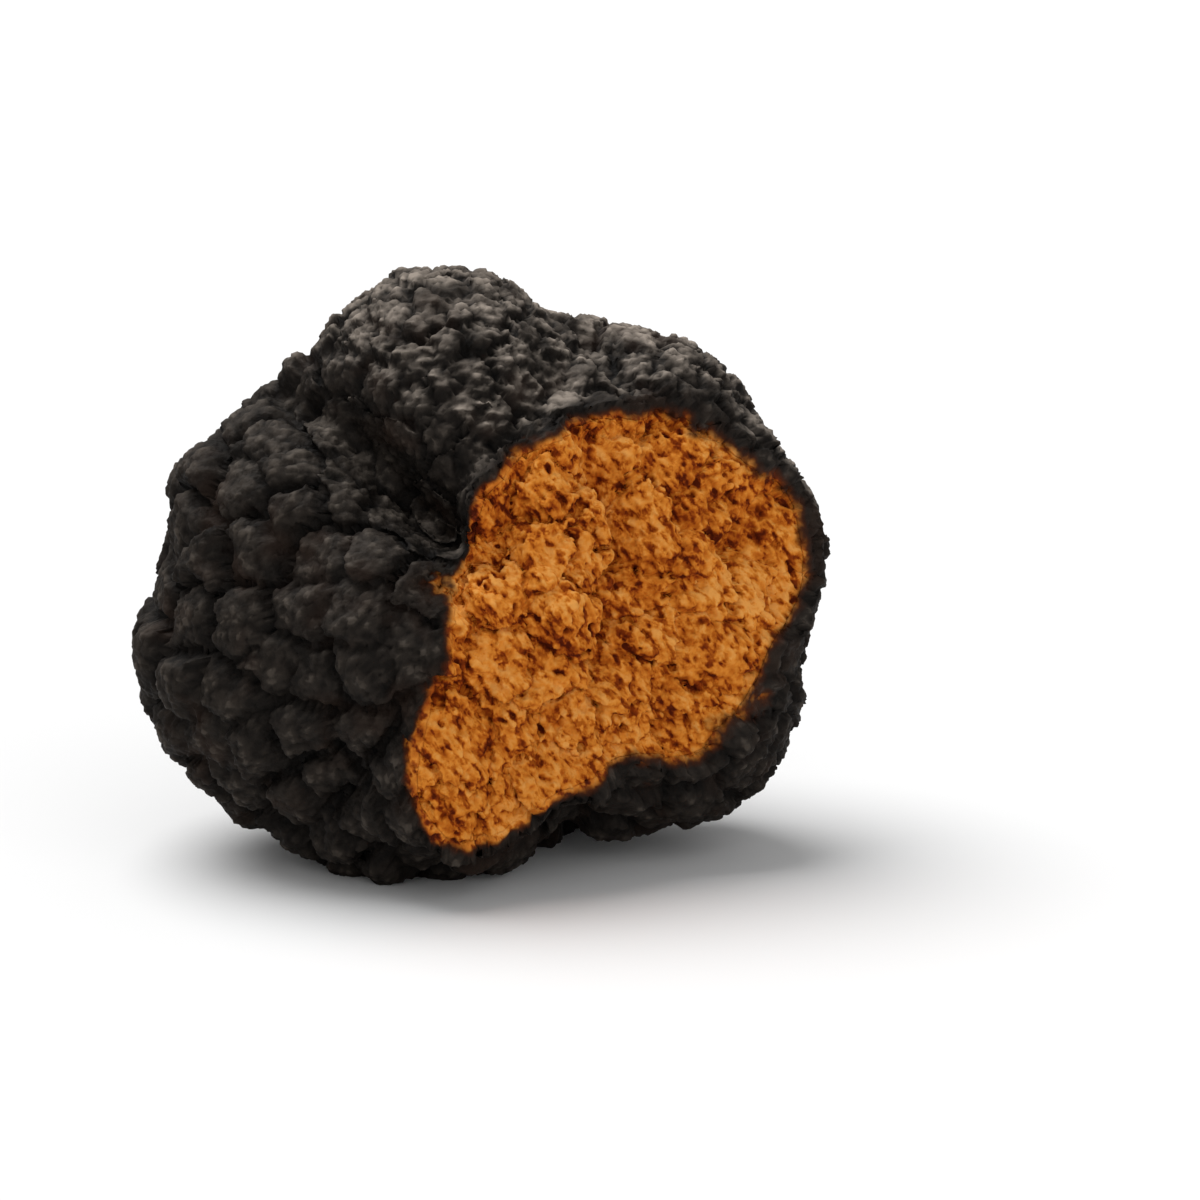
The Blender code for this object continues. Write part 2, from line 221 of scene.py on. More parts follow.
CRUST_SPECULAR = 0.10

# The dust on the crust, partly real dust and partly painted highlight on crowns that face up, which each of
# these spans takes from none to all
DUST_AND_HIGHLIGHT = (0.290, 0.245, 0.205)
DUST_AND_HIGHLIGHT_SIZE = 0.009
DUST_AND_HIGHLIGHT_PATCHES = (0.2, 0.8)  # the noise at the edge of a patch, and in it
DUST_AND_HIGHLIGHT_UPWARD = (0.2, 0.9)  # how far the surface faces up, where it paints light on the tops
DUST_AND_HIGHLIGHT_LEVEL = (0.45, 1.15)  # the crust's level
DUST_AND_HIGHLIGHT_AWAY = (0.0, 8.0)  # how far the body lies under the broken face's surface, in millimetres
DUST_AND_HIGHLIGHT_PLACE = (0.050, 0.120)  # the way right and the way up together
DUST_AND_HIGHLIGHT_LEAST = 0.24  # how thick it lies low on the left, and how much more high on the right, which paints the upper right lighter
DUST_AND_HIGHLIGHT_MORE = 1.6

# The core's colour goes by a level too. Crumbs, smaller crumbs and clods raise its tone, and pits lower it,
# so pits and the fissures between crumbs and clods are darker, partly in the core's own colour and partly
# as painted shade
TONE = 0.40
TONE_CRUMB = 0.30
TONE_CRUMBLE = 0.30
TONE_PIT = 0.35
TONE_CLOD = 0.24
CORE_LEVEL = -0.95
CORE_TOP_LIGHT = 0.20  # painted light: what facing up adds to the level, lighter on top and darker underneath
CORE_SPECKLE = 0.18
CORE_SPECKLE_SIZE = 0.0010
CORE_PATCH = 1.05
CORE_PATCH_SIZE = 0.018
CREVICE_LEVEL = 0.42  # what the surface between the finest crevices adds to it
CREVICE_SIZE = 0.0019
CREVICES = (0.36, 0.52)  # the noise in a crevice, and at its edge
CORE_COLOURS = (  # each at its level, from the pits to the crumbs' tops
    (0.05, (0.075, 0.008, 0.0006)),
    (0.28, (0.220, 0.034, 0.0020)),
    (0.50, (0.450, 0.114, 0.008)),
    (0.72, (0.640, 0.215, 0.025)),
    (1.00, (0.740, 0.320, 0.070)),
)
CORE_ROUGHNESS = 0.90
CORE_SPECULAR = 0.08

# The colour's change from crust to core, by depth under the smooth body in millimetres
RUST_DEPTHS = (1.0, 7.0)
RUST_RAGGED = 6.0
RUST_RAGGED_SIZE = 0.005
BURNT = (0.050, 0.012, 0.003)  # between the crust's black and the core's orange
BURNT_SPAN = (0.0, 0.5)  # shares of the change over which the burnt colour comes, and then the core's
BARE_SPAN = (0.3, 1.0)

# The grain in both materials that is too fine for the meshes
FINE_DETAIL = 3.0
BUMP_DETAIL = 4.0
BUMP_GRAIN_SIZE = 0.0009
BUMP_CELL_SIZE = 0.0013
BUMP_HEIGHT = 0.0004
BUMP_STRENGTH = 0.6
NOISE_MIDDLE = 0.5  # a noise texture's middle value

# The meshes
STEEPEST = 0.35  # least share of a wall's thickness that counts along a steep direction
STEEPEST_CRUST = 0.75
FRONT_DEPTH = 0.5 * CRUST_THICKNESS  # how deep under the smooth body the core's faces get smaller
PAST_FACE = 0.014  # how far the cutter of the crust's inside stands out of the broken face
FOOT_THICKNESS = 0.004
SLAB = 0.3  # the side of the block under the floor that cuts the foot flat
SEED_SUBDIVISIONS = 7
BODY_SUBDIVISIONS = 7
INSIDE_SUBDIVISIONS = 5
CRUST_VOXEL = 0.0009
CORE_VOXEL = 0.0008

# The picture
CAMERA_TARGET = Vector((0.0272, -0.0059, 0.0600))
CAMERA_ELEVATION = 12  # in degrees
CAMERA_DISTANCE = 0.9
VIEW_WIDTH = 0.2745  # how wide the view is at the target
SENSOR = 36  # in millimetres
FLOOR_SIZE = 6
FLOOR_COLOUR = (0.80, 0.80, 0.80, 1.0)
FLOOR_ROUGHNESS = 0.9
FLOOR_SPECULAR = 0.0
WHITE = (1, 1, 1, 1)
WORLD_STRENGTH = 0.38
LIGHTS = {  # how strong each is, how wide it looks from the chunk in degrees, and the way to it
    "key": (2.8, 50, (-0.36, 0.24, 1.0)),
    "fill": (1.0, 80, (0.50, -1.0, 0.35)),
}


def noise_at(points, size, octaves=2):
    """Smooth noise, from about -1 to 1, with features of the given size."""
    return np.array([noise.fractal(Vector(p), NOISE_FALL, NOISE_STEP, octaves) for p in points / size])


def plates_at(points, size):
    """Small plates of about the given size: 1 on them, and 0 in the cracks between them."""
    found = [noise.voronoi(Vector(p))[0] for p in points / size]
    return smooth_step(np.array([row[1] - row[0] for row in found]), 0, PLATE_EDGE)


def crumbs_at(points, size):
    """Round crumbs of about the given size: 1 in their middles, down to about 0 between them."""
    return 1 - np.array([noise.voronoi(Vector(p))[0][0] for p in points / size])


def along_line(points, start, end, width, height):
    """A soft ridge along a line or, where the height is negative, a soft furrow."""
    start, end = np.array(start), np.array(end)
    run = end - start
    share = np.clip((points - start) @ run / (run @ run), 0, 1)
    distance = np.linalg.norm(points - start - share[:, None] * run, axis=1)
    return height * np.exp(-((distance / width) ** 2))


def smooth_step(value, low, high):
    """0 at the low value, 1 at the high one, and smooth between."""
    share = np.clip((value - low) / (high - low), 0, 1)
    return share * share * (3 - 2 * share)


def directions_to(points):
    """The way from the heart to each point."""
    ways = points - HEART
    return ways / np.linalg.norm(ways, axis=1)[:, None]


def reached(directions, reach):
    """The points that lie that far from the heart."""
    return HEART + directions * reach[:, None]


def lobe_reach(directions, tip, half_width):
    """The reach of an egg that holds the heart and ends at the tip."""
    axis = np.array(tip) - HEART
    length = np.linalg.norm(axis)
    half_length = max(half_width, (length + LOBE_BACK) / 2)
    back = length - half_length
    along = directions @ axis / length
    a = (along / half_length) ** 2 + (1 - along**2) / half_width**2
    b = -along * back / half_length**2
    c = (back / half_length) ** 2 - 1
    return (-b + np.sqrt(b**2 - a * c)) / a


def cleft_height(points):
    """How far the clefts lower the body there, as a height below zero."""
    return np.min([along_line(points, *cleft) for cleft in CLEFTS], axis=0)


def body_reach(directions):
    """The reach of the unbroken body, without its nodules."""
    reaches = np.array([lobe_reach(directions, tip, half_width) for tip, half_width in LOBES])
    top = reaches.max(axis=0)
    reach = top + LOBE_BLEND * np.log(np.exp((reaches - top) / LOBE_BLEND).sum(axis=0))
    return reach + cleft_height(reached(directions, reach))


def face_middle(directions):
    """The reach of the face before its forms: part of a very large ball."""
    normal = FACE_NORMAL / np.linalg.norm(FACE_NORMAL)
    offset = FACE_POINT - FACE_RADIUS * normal - HEART
    along = directions @ offset
    return along + np.sqrt(along**2 + FACE_RADIUS**2 - offset @ offset)


def clod_relief(points, clods):
    """Height of the clods over the face, each one tilted its own way. Also how high each point is on its
    clod."""
    spacing = np.full(len(points), CLOD_SPACING)
    strayed = warped(points, CLOD_WARP, CLOD_WARP_SIZE, octaves=3)
    _, rise, cell = domes(strayed, clods, spacing, np.arange(len(clods)))
    tilt = CLOD_TILT * np.random.default_rng(CLOD_SEED).uniform(-1, 1, (len(clods), 3))
    slope = ((points - clods[cell]) * tilt[cell]).sum(axis=1)
    return CLOD_HEIGHT * (rise - 1) + slope * rise, rise


def face_reach(directions, clods):
    """The reach of the rough broken face, with its ridges and hollows, its swells, its lumps and clods."""
    reach = face_middle(directions)
    points = reached(directions, reach)
    reach += sum(along_line(points, *form) for form in FACE_FORMS)
    reach += FACE_SWELL * noise_at(points, FACE_SWELL_SIZE)
    reach += FACE_LUMP * noise_at(points + FACE_LUMP_SHIFT, FACE_LUMP_SIZE, octaves=3)
    return reach + clod_relief(points, clods)[0]


def place_share(points):
    """From -1 low on the left to 1 high on the right."""
    return np.clip((points[:, 2] - HEART[2] + points[:, 0]) / NODULE_SPREAD_OVER, -1, 1)


def nodule_spacing(points):
    """How far apart nodules are: widest low on the left, finest high on the right."""
    return NODULE_SPACING * (1 - NODULE_SPREAD * place_share(points))


def scattered(points, spacings, seed):
    """Points spread over the body, no two nearer than the spacing there."""
    order = np.random.default_rng(seed).permutation(len(points))
    seeds = points[order[:1]]
    for point, spacing in zip(points[order], spacings[order]):
        if ((seeds - point) ** 2).sum(axis=1).min() > spacing**2:
            seeds = np.vstack([seeds, point])
    return seeds


def tree_of(points):
    tree = kdtree.KDTree(len(points))
    for index, point in enumerate(points):
        tree.insert(point, index)
    tree.balance()
    return tree


def warped(points, height=WARP, size=WARP_SIZE, octaves=2):
    """The points moved to and fro by noise."""
    shifts = [noise_at(points + shift, size, octaves) for shift in WARP_SHIFTS]
    return points + height * np.stack(shifts, axis=1)


def domes(points, seeds, spacing, groups):
    """For a dome round each seed: how far each point is from a crack, how high it is on its dome, from 0
    in the crack to 1 on top, and the dome's number. Cracks between domes of one group are shallow."""
    tree = tree_of(seeds)
    found = [tree.find_n(p, NEIGHBOURS) for p in points]
    near = np.array([[index for _, index, _ in row] for row in found])
    distance = np.array([[far for _, _, far in row] for row in found])
    apart = np.linalg.norm(seeds[near[:, 1:]] - seeds[near[:, :1]], axis=2)
    edges = (distance[:, 1:] ** 2 - distance[:, :1] ** 2) / (2 * apart)
    joined = groups[near[:, 1:]] == groups[near[:, :1]]
    edges = np.maximum(edges, LEAST_EDGE) + DOME_JOIN * spacing[:, None] * joined
    edge = (edges**-CORNER_POWER).sum(axis=1) ** (-1 / CORNER_POWER)
    rise = np.sqrt(1 - (1 - np.minimum(edge / (DOME_ROUND * spacing), 1)) ** 2)
    return edge, rise, near[:, 0]


def nodule_relief(points, seeds):
    """Height of the crust over the body: a dome for each nodule, with cracks between, deepest between
    clusters. Also how far the cracks are, and how high each point is on its dome."""
    draws = np.random.default_rng(NODULE_SEED)
    clusters = tree_of(scattered(seeds, np.full(len(seeds), CLUSTER_SPACING), NODULE_SEED))
    groups = np.array([clusters.find(seed)[1] for seed in seeds])
    spacing = nodule_spacing(points)
    edge, rise, cell = domes(warped(points), seeds, spacing, groups)
    vary = 1 + NODULE_VARY * draws.uniform(-1, 1, len(seeds))
    tilt = NODULE_TILT * draws.uniform(-1, 1, (len(seeds), 3))
    height = NODULE_HEIGHT * (1 - NODULE_FLATTER * place_share(points)) * vary[cell] * spacing
    slope = ((points - seeds[cell]) * tilt[cell]).sum(axis=1)
    calm = 1 / (1 + 2 * (cleft_height(points) / CLEFT_CALM) ** 2)
    return calm * ((height + slope) * rise - NODULE_SINK * spacing), edge, rise


def ball(subdivisions):
    """A unit sphere of triangles, and its vertices as directions."""
    bm = bmesh.new()
    bmesh.ops.create_icosphere(bm, subdivisions=subdivisions, radius=1)
    directions = np.array([v.co for v in bm.verts])
    return bm, directions / np.linalg.norm(directions, axis=1)[:, None]


def place(bm, points):
    for vert, point in zip(bm.verts, points):
        vert.co = point
    bm.normal_update()


def mesh_object(name, bm):
    mesh = bpy.data.meshes.new(name)
    bm.to_mesh(mesh)
    bm.free()
    obj = bpy.data.objects.new(name, mesh)
    bpy.context.scene.collection.objects.link(obj)
    return obj


def points_of(obj):
    points = np.empty(len(obj.data.vertices) * 3)
    obj.data.vertices.foreach_get("co", points)
    return points.reshape(-1, 3)


def move_to(obj, points):
    """Moves the vertices to the points, and returns the new vertex normals."""
    obj.data.vertices.foreach_set("co", points.ravel())
    obj.data.update()
    normals = np.empty(len(obj.data.vertices) * 3)
    obj.data.vertex_normals.foreach_get("vector", normals)
    return normals.reshape(-1, 3)


def squareness(directions, normals, least):
    """How squarely the surface faces each direction: 1 where it does in full, and never under the least."""
    return np.clip((directions * normals).sum(axis=1), least, 1)


def apply_modifier(obj, kind, **settings):
    modifier = obj.modifiers.new(kind, kind)
    for key, value in settings.items():
        setattr(modifier, key, value)
    bpy.context.view_layer.update()
    graph = bpy.context.evaluated_depsgraph_get()
    mesh = bpy.data.meshes.new_from_object(obj.evaluated_get(graph))
    obj.modifiers.clear()
    obj.data = mesh


def smooth_chunk(seeds):
    """The body cut by the face, without nodules."""
    bm, directions = ball(BODY_SUBDIVISIONS)
    reach = np.minimum(body_reach(directions), face_reach(directions, seeds["clods"]))
    place(bm, reached(directions, reach))
    return mesh_object("smooth", bm)


def middles():
    """The middles of the nodules, of the knobs on them and of the face's clods."""
    bm, directions = ball(SEED_SUBDIVISIONS)
    bm.free()
    body = reached(directions, body_reach(directions))
    face = reached(directions, face_middle(directions))
    face = face[np.linalg.norm(face - FACE_POINT, axis=1) < CLOD_SPAN]
    return {
        "nodules": scattered(body, nodule_spacing(body), NODULE_SEED),
        "knobs": scattered(body, KNOB_SHARE * nodule_spacing(body), KNOB_SEED),
        "clods": scattered(face, np.full(len(face), CLOD_SPACING), CLOD_SEED),
    }


def split_front(obj, clods):
    """Halves the size of the faces that the core shows."""
    bm = bmesh.new()
    bm.from_mesh(obj.data)
    directions = directions_to(np.array([v.co for v in bm.verts]))
    shown = body_reach(directions) - face_reach(directions, clods) > FRONT_DEPTH
    edges = [e for e in bm.edges if all(shown[v.index] for v in e.verts)]
    bmesh.ops.subdivide_edges(bm, edges=edges, cuts=1, use_grid_fill=True)
    bmesh.ops.triangulate(bm, faces=[f for f in bm.faces if len(f.verts) > 4])
    bm.to_mesh(obj.data)
    bm.free()


def broken_share(directions, body, face):
    """How much of the crust is broken off: none outside the rim, all of it on the face, ragged between."""
    ragged = RIM_RAGGED * noise_at(reached(directions, face), RIM_RAGGED_SIZE, octaves=3)
    return smooth_step(body - face + ragged, RIM_FROM, RIM_TO)


def fine_crust(points, edge, knobs):
    """Height of the crust's fine forms: knobs, cracks, grit and grain. Also how high each point is on its
    knob, and where the grit is."""
    spacing = KNOB_SHARE * nodule_spacing(points)
    _, rise, _ = domes(warped(points), knobs, spacing, np.arange(len(knobs)))
    height = KNOB_HEIGHT * (1 + KNOB_TALLER * place_share(points)) * spacing
    crack = np.exp(-((edge / CRACK_WIDTH) ** 2))
    grit = plates_at(points, GRIT_SIZE)
    relief = height * (rise - 1) - CRACK_DEPTH * crack
    relief += GRIT * (grit - 1) + GRAIN * noise_at(points, GRAIN_SIZE)
    return relief, rise, grit


def along_fibre(points):
    """The points squeezed along the fibre, so that noise read there runs long that way."""
    fibre = FIBRE / np.linalg.norm(FIBRE)
    return points - (1 - FIBRE_SHARE) * (points @ fibre)[:, None] * fibre


def fine_core(points):
    """Height of the core's fine forms: crumbs, smaller crumbs on them, and pits. Also their tone."""
    squeezed = along_fibre(points)
    crumb = crumbs_at(squeezed, CRUMB_SIZE) - CRUMB_MIDDLE
    crumble = noise_at(squeezed, CRUMBLE_SIZE, octaves=3)
    pit = smooth_step(noise_at(squeezed + PIT_SHIFT, PIT_SIZE), PIT_FROM, PIT_TO)
    relief = CRUMB * crumb + CRUMBLE * crumble - PIT_DEPTH * pit
    return relief, TONE + TONE_CRUMB * crumb + TONE_CRUMBLE * crumble - TONE_PIT * pit


def dressed_chunk(smooth, name, voxel, seeds, fine_front=False):
    """The whole chunk with its fine forms, and what each vertex tells its material."""
    obj = bpy.data.objects.new(name, smooth.data.copy())
    bpy.context.scene.collection.objects.link(obj)
    apply_modifier(obj, "REMESH", mode="VOXEL", voxel_size=voxel)
    if fine_front:
        split_front(obj, seeds["clods"])
    directions = directions_to(points_of(obj))

    body = body_reach(directions)
    face = face_reach(directions, seeds["clods"])
    points = reached(directions, body)
    square = squareness(directions, move_to(obj, points), STEEPEST_CRUST)
    relief, edge, rise = nodule_relief(points, seeds["nodules"])
    outside = np.minimum(body + relief / square, np.maximum(face, body) + RIM_PROUD)
    broken = broken_share(directions, body, face)
    chunk = outside + broken * (np.minimum(outside, face) - outside)

    points = reached(directions, chunk)
    normals = move_to(obj, points)
    crust, knob_rise, grit = fine_crust(points, edge, seeds["knobs"])
    core, tone = fine_core(points)
    relief = crust + broken * (core - crust)
    move_to(obj, points + normals * relief[:, None])
    return obj, {
        # rise, crumb and cleft paint shade into the cracks, pits and furrows and highlight onto the crowns,
        # beside the real colours
        "rise": RISE_NODULE * rise + RISE_KNOB * knob_rise + RISE_GRIT * knob_rise * grit,
        "crumb": tone + TONE_CLOD * clod_relief(points, seeds["clods"])[1],
        "depth": MILLIMETRES * (body - chunk),
        "away": MILLIMETRES * (face - body),
        "cleft": -MILLIMETRES * cleft_height(points),
    }


def inside_of_crust():
    """The space that the crust holds. It stands out of the broken face, and so it opens the crust there."""
    bm, directions = ball(INSIDE_SUBDIVISIONS)
    body = body_reach(directions)
    place(bm, reached(directions, body))
    square = squareness(directions, np.array([v.normal for v in bm.verts]), STEEPEST)
    inside = np.minimum(body - CRUST_THICKNESS / square, face_middle(directions) + PAST_FACE)
    points = reached(directions, inside)
    low = points[:, 2] < FOOT_THICKNESS
    share = (HEART[2] - FOOT_THICKNESS) / (HEART[2] - points[low, 2])
    points[low] = HEART + (points[low] - HEART) * share[:, None]
    place(bm, points)
    return mesh_object("inside", bm)


def floor_slab():
    bm = bmesh.new()
    bmesh.ops.create_cube(bm, size=SLAB)
    bmesh.ops.translate(bm, verts=bm.verts, vec=(0, 0, -SLAB / 2))
    return mesh_object("slab", bm)


def shrink(obj, distance):
    """Moves the surface inwards by the distance, straight to the heart."""
    points = points_of(obj)
    directions = directions_to(points)
    square = squareness(directions, move_to(obj, points), STEEPEST)
    move_to(obj, points - directions * (distance / square)[:, None])


def cut(obj, attributes, cutters):
    """Cuts the chunk by each cutter in turn. Each vertex then tells its material what the nearest vertex
    told it before the cuts."""
    before = tree_of(points_of(obj))
    for cutter, operation in cutters:
        apply_modifier(obj, "BOOLEAN", object=cutter, operation=operation, solver="MANIFOLD")
    nearest = [before.find(p)[1] for p in points_of(obj)]
    for name, values in attributes.items():
        attribute = obj.data.attributes.new(name, "FLOAT", "POINT")
        attribute.data.foreach_set("value", values[nearest].astype(np.float32))


def island_of(first):
    """All the vertices that edges join to this one."""
    island, queue = {first}, [first]
    while queue:
        vert = queue.pop()
        joined = {edge.other_vert(vert) for edge in vert.link_edges} - island
        island |= joined
        queue.extend(joined)
    return island


def drop_scraps(obj):
    """Keeps the largest body, and drops any crumb that a cut left loose beside it."""
    bm = bmesh.new()
    bm.from_mesh(obj.data)
    left = set(bm.verts)
    islands = []
    while left:
        islands.append(island_of(next(iter(left))))
        left -= islands[-1]
    islands.remove(max(islands, key=len))
    for island in islands:
        bmesh.ops.delete(bm, geom=list(island), context="VERTS")
    bm.to_mesh(obj.data)
    bm.free()


def finish(obj, material):
    """Moves the piece to the row's frame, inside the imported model's box, and shades it."""
    drop_scraps(obj)
    move_to(obj, np.clip(points_of(obj) - MIDDLE, CAD_LOW, CAD_HIGH))
    obj.data.name = obj.name
    obj.data.materials.clear()
    obj.data.materials.append(material)
    obj.data.shade_smooth()


def node(tree, kind, inputs=None, **settings):
    """Adds a node. An input that is another node's output is linked, and any other is set."""
    made = tree.nodes.new(kind)
    for key, value in settings.items():
        setattr(made, key, value)
    for key, value in (inputs or {}).items():
        if isinstance(value, bpy.types.NodeSocket):
            tree.links.new(value, made.inputs[key])
        else:
            made.inputs[key].default_value = value
    return made


def math_of(tree, operation, *inputs):
    return node(tree, "ShaderNodeMath", dict(enumerate(inputs)), operation=operation).outputs[0]


def vector_math(tree, operation, inputs):
    return node(tree, "ShaderNodeVectorMath", inputs, operation=operation).outputs


def product(tree, first, *others):
    for other in others:
        first = math_of(tree, "MULTIPLY", first, other)
    return first


def raised(tree, level, parts):
    """The level with each part added to it, after the part is multiplied by its weight."""
    for part, weight in parts:
        level = math_of(tree, "MULTIPLY_ADD", part, weight, level)
    return level


def mix(tree, share, first, second):
    """A colour between two others, each a socket or three numbers."""
    # the node has inputs of the same name for each kind of data, so they go by number
    colours = [c if isinstance(c, bpy.types.NodeSocket) else (*c, 1.0) for c in (first, second)]
    made = node(tree, "ShaderNodeMix", {0: share, 6: colours[0], 7: colours[1]}, data_type="RGBA")
    return made.outputs[2]


def fade(tree, value, span):
    """0 at the start of the span, 1 at its end, and smooth between."""
    inputs = {0: value, 1: span[0], 2: span[1]}
    return node(tree, "ShaderNodeMapRange", inputs, interpolation_type="SMOOTHSTEP").outputs[0]


def ramp(tree, value, stops):
    """A colour that runs through the stops, each a place and a colour."""
    made = node(tree, "ShaderNodeValToRGB", {"Fac": value})
    elements = made.color_ramp.elements
    while len(elements) < len(stops):
        elements.new(0.5)  # its place is set below
    for element, (place_at, colour) in zip(elements, stops):
        element.position = place_at
        element.color = (*colour, 1.0)
    return made.outputs["Color"]


def attribute_of(tree, name):
    return node(tree, "ShaderNodeAttribute", attribute_type="GEOMETRY", attribute_name=name).outputs["Fac"]


def place_of(tree):
    return node(tree, "ShaderNodeTexCoord").outputs["Object"]


def squeezed_place(tree):
    """The place squeezed along the fibre, as along_fibre squeezes points."""
    fibre = tuple(FIBRE / np.linalg.norm(FIBRE))
    place_on = place_of(tree)
    along = vector_math(tree, "DOT_PRODUCT", {0: place_on, 1: fibre})["Value"]
    less = math_of(tree, "MULTIPLY", along, 1 - FIBRE_SHARE)
    run = vector_math(tree, "SCALE", {0: fibre, "Scale": less})[0]
    return vector_math(tree, "SUBTRACT", {0: place_on, 1: run})[0]


def noise_texture(tree, size, detail=2.0, place_on=None):
    """Smooth noise, about 0 to 1, with features of the given size in metres."""
    inputs = {"Vector": place_on or place_of(tree), "Scale": 1 / size, "Detail": detail}
    return node(tree, "ShaderNodeTexNoise", inputs).outputs["Fac"]


def cell_texture(tree, size):
    """How far each place is from the middle of its cell, with cells of the given size in metres."""
    inputs = {"Vector": place_of(tree), "Scale": 1 / size}
    return node(tree, "ShaderNodeTexVoronoi", inputs).outputs["Distance"]


def upward(tree):
    """How far the surface faces up, from -1 to 1."""
    normal = node(tree, "ShaderNodeNewGeometry").outputs["Normal"]
    return node(tree, "ShaderNodeSeparateXYZ", {0: normal}).outputs["Z"]


def dust_and_highlight_share(tree, level):
    """How much dust and painted highlight lies there: patches of it on crowns that face up, most at the
    upper right, and none at the rim. Being lighter on up-facing crowns and at the upper right is painted
    light."""
    axes = node(tree, "ShaderNodeSeparateXYZ", {0: place_of(tree)}).outputs
    right_and_up = math_of(tree, "ADD", axes["X"], axes["Z"])
    return product(
        tree,
        fade(tree, upward(tree), DUST_AND_HIGHLIGHT_UPWARD),
        fade(tree, level, DUST_AND_HIGHLIGHT_LEVEL),
        fade(tree, noise_texture(tree, DUST_AND_HIGHLIGHT_SIZE), DUST_AND_HIGHLIGHT_PATCHES),
        fade(tree, attribute_of(tree, "away"), DUST_AND_HIGHLIGHT_AWAY),
        raised(tree, DUST_AND_HIGHLIGHT_LEAST, ((fade(tree, right_and_up, DUST_AND_HIGHLIGHT_PLACE), DUST_AND_HIGHLIGHT_MORE),)),
    )


def crust_colour(tree):
    """Black in the cracks, charcoal on the nodules, and dusty grey-brown on crowns that face up. The black
    in the cracks and the furrows is painted shade, and the grey-brown is partly dust and partly painted
    highlight.
    """
    level = raised(tree, CRUST_LEVEL, (
        (noise_texture(tree, CRUST_SPECKLE_SIZE, FINE_DETAIL), CRUST_SPECKLE),
        (attribute_of(tree, "rise"), 1),
        # painted shade: the crust is darker down in the furrows between lobes
        (fade(tree, attribute_of(tree, "cleft"), CLEFT_SHADE_DEPTHS), CLEFT_SHADE),
    ))
    brown = product(tree, fade(tree, noise_texture(tree, BROWN_SIZE), BROWN_PATCHES), BROWN_SHARE)
    colour = mix(tree, brown, ramp(tree, level, CRUST_COLOURS), BROWN)
    return mix(tree, dust_and_highlight_share(tree, level), colour, DUST_AND_HIGHLIGHT)


def core_colour(tree):
    """Dark red-brown in the pits and cracks, orange on the crumbs, and paler on their tops: partly the
    core's own colour, partly painted shade in the pits and painted light on surfaces that face up.
    """
    crevices = noise_texture(tree, CREVICE_SIZE, FINE_DETAIL, squeezed_place(tree))
    level = raised(tree, CORE_LEVEL, (
        (noise_texture(tree, CORE_SPECKLE_SIZE, FINE_DETAIL), CORE_SPECKLE),
        (noise_texture(tree, CORE_PATCH_SIZE, FINE_DETAIL), CORE_PATCH),
        (fade(tree, crevices, CREVICES), CREVICE_LEVEL),
        # painted light: the core is lighter where it faces up and darker where it faces down
        (upward(tree), CORE_TOP_LIGHT),
        (attribute_of(tree, "crumb"), 1),
    ))
    return ramp(tree, level, CORE_COLOURS)


def new_material(name, roughness, specular):
    """A new material and its shader."""
    made = bpy.data.materials.new(name)
    made.use_nodes = True
    shader = made.node_tree.nodes["Principled BSDF"]
    shader.inputs["Roughness"].default_value = roughness
    shader.inputs["Specular IOR Level"].default_value = specular
    return made, shader


def chaga_material(name, roughness, specular):
    """Crust and core in one, because each shows on both pieces beside the rim."""
    made, shader = new_material(name, roughness, specular)
    tree = made.node_tree
    ragged = math_of(tree, "SUBTRACT", noise_texture(tree, RUST_RAGGED_SIZE, FINE_DETAIL), NOISE_MIDDLE)
    rust = fade(tree, raised(tree, attribute_of(tree, "depth"), ((ragged, RUST_RAGGED),)), RUST_DEPTHS)
    colour = mix(tree, fade(tree, rust, BURNT_SPAN), crust_colour(tree), BURNT)
    colour = mix(tree, fade(tree, rust, BARE_SPAN), colour, core_colour(tree))
    tree.links.new(colour, shader.inputs["Base Color"])
    grain = noise_texture(tree, BUMP_GRAIN_SIZE, BUMP_DETAIL)
    height = math_of(tree, "ADD", grain, cell_texture(tree, BUMP_CELL_SIZE))
    inputs = {"Height": height, "Distance": BUMP_HEIGHT, "Strength": BUMP_STRENGTH}
    tree.links.new(node(tree, "ShaderNodeBump", inputs).outputs["Normal"], shader.inputs["Normal"])
    return made


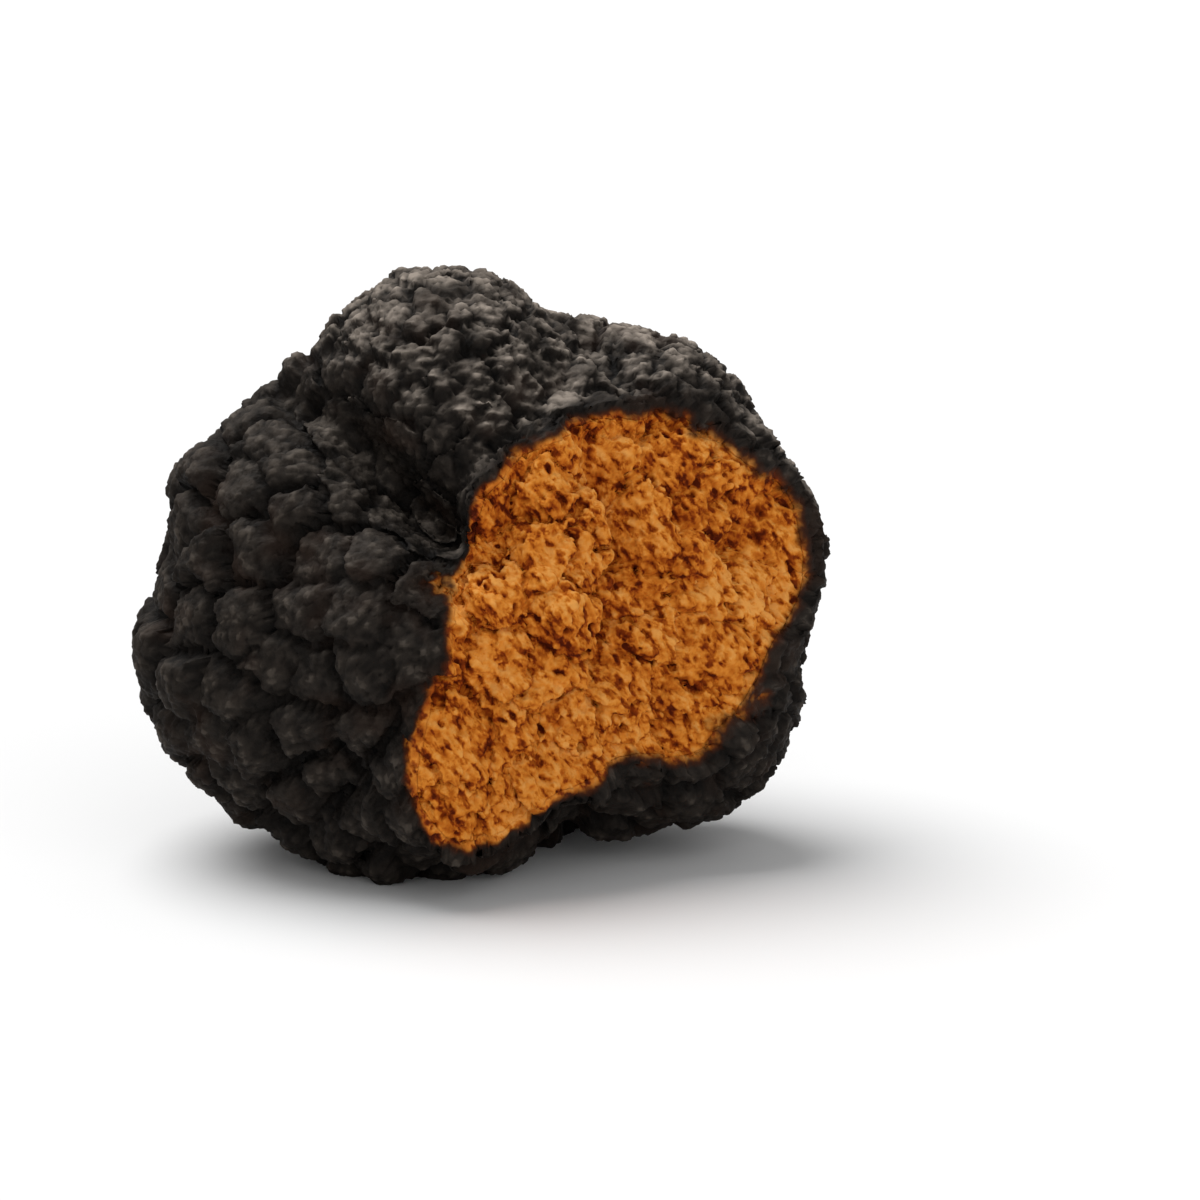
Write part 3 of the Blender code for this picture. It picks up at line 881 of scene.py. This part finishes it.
def add_floor():
    bm = bmesh.new()
    bmesh.ops.create_grid(bm, x_segments=1, y_segments=1, size=FLOOR_SIZE)
    floor = mesh_object("floor", bm)
    made, shader = new_material("floor", FLOOR_ROUGHNESS, FLOOR_SPECULAR)
    shader.inputs["Base Color"].default_value = FLOOR_COLOUR
    floor.data.materials.append(made)
    floor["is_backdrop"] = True


def add_light():
    world = bpy.data.worlds.new("world")
    bpy.context.scene.world = world
    world.use_nodes = True
    background = world.node_tree.nodes["Background"]
    background.inputs["Color"].default_value = WHITE
    background.inputs["Strength"].default_value = WORLD_STRENGTH
    for name, (strength, width, away) in LIGHTS.items():
        light = bpy.data.lights.new(name, "SUN")
        light.energy = strength
        light.angle = math.radians(width)
        obj = bpy.data.objects.new(name, light)
        bpy.context.scene.collection.objects.link(obj)
        obj.rotation_euler = Vector(away).to_track_quat("Z", "Y").to_euler()
    bpy.context.scene.view_settings.view_transform = "Standard"


def add_camera():
    camera = bpy.data.cameras.new("camera")
    camera.sensor_width = SENSOR
    camera.lens = SENSOR * CAMERA_DISTANCE / VIEW_WIDTH
    obj = bpy.data.objects.new("camera", camera)
    bpy.context.scene.collection.objects.link(obj)
    elevation = math.radians(CAMERA_ELEVATION)
    away = Vector((0, -math.cos(elevation), math.sin(elevation)))
    obj.location = CAMERA_TARGET + CAMERA_DISTANCE * away
    obj.rotation_euler = away.to_track_quat("Z", "Y").to_euler()
    bpy.context.scene.camera = obj


def main():
    seeds = middles()
    smooth = smooth_chunk(seeds)
    slab = floor_slab()
    inside = inside_of_crust()

    crust, told = dressed_chunk(smooth, "chunk_crust", CRUST_VOXEL, seeds)
    cut(crust, told, ((slab, "DIFFERENCE"), (inside, "DIFFERENCE")))
    core, told = dressed_chunk(smooth, "chunk_core", CORE_VOXEL, seeds, fine_front=True)
    shrink(inside, GAP)
    cut(core, told, ((inside, "INTERSECT"),))

    for helper in (smooth, slab, inside):
        bpy.data.objects.remove(helper)
    finish(crust, chaga_material("crust", CRUST_ROUGHNESS, CRUST_SPECULAR))
    finish(core, chaga_material("core", CORE_ROUGHNESS, CORE_SPECULAR))
    for piece, stands_for in ((crust, "crust"), (core, "core")):
        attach(piece, "root")
        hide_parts(stands_for)

    add_floor()
    add_light()
    add_camera()


main()
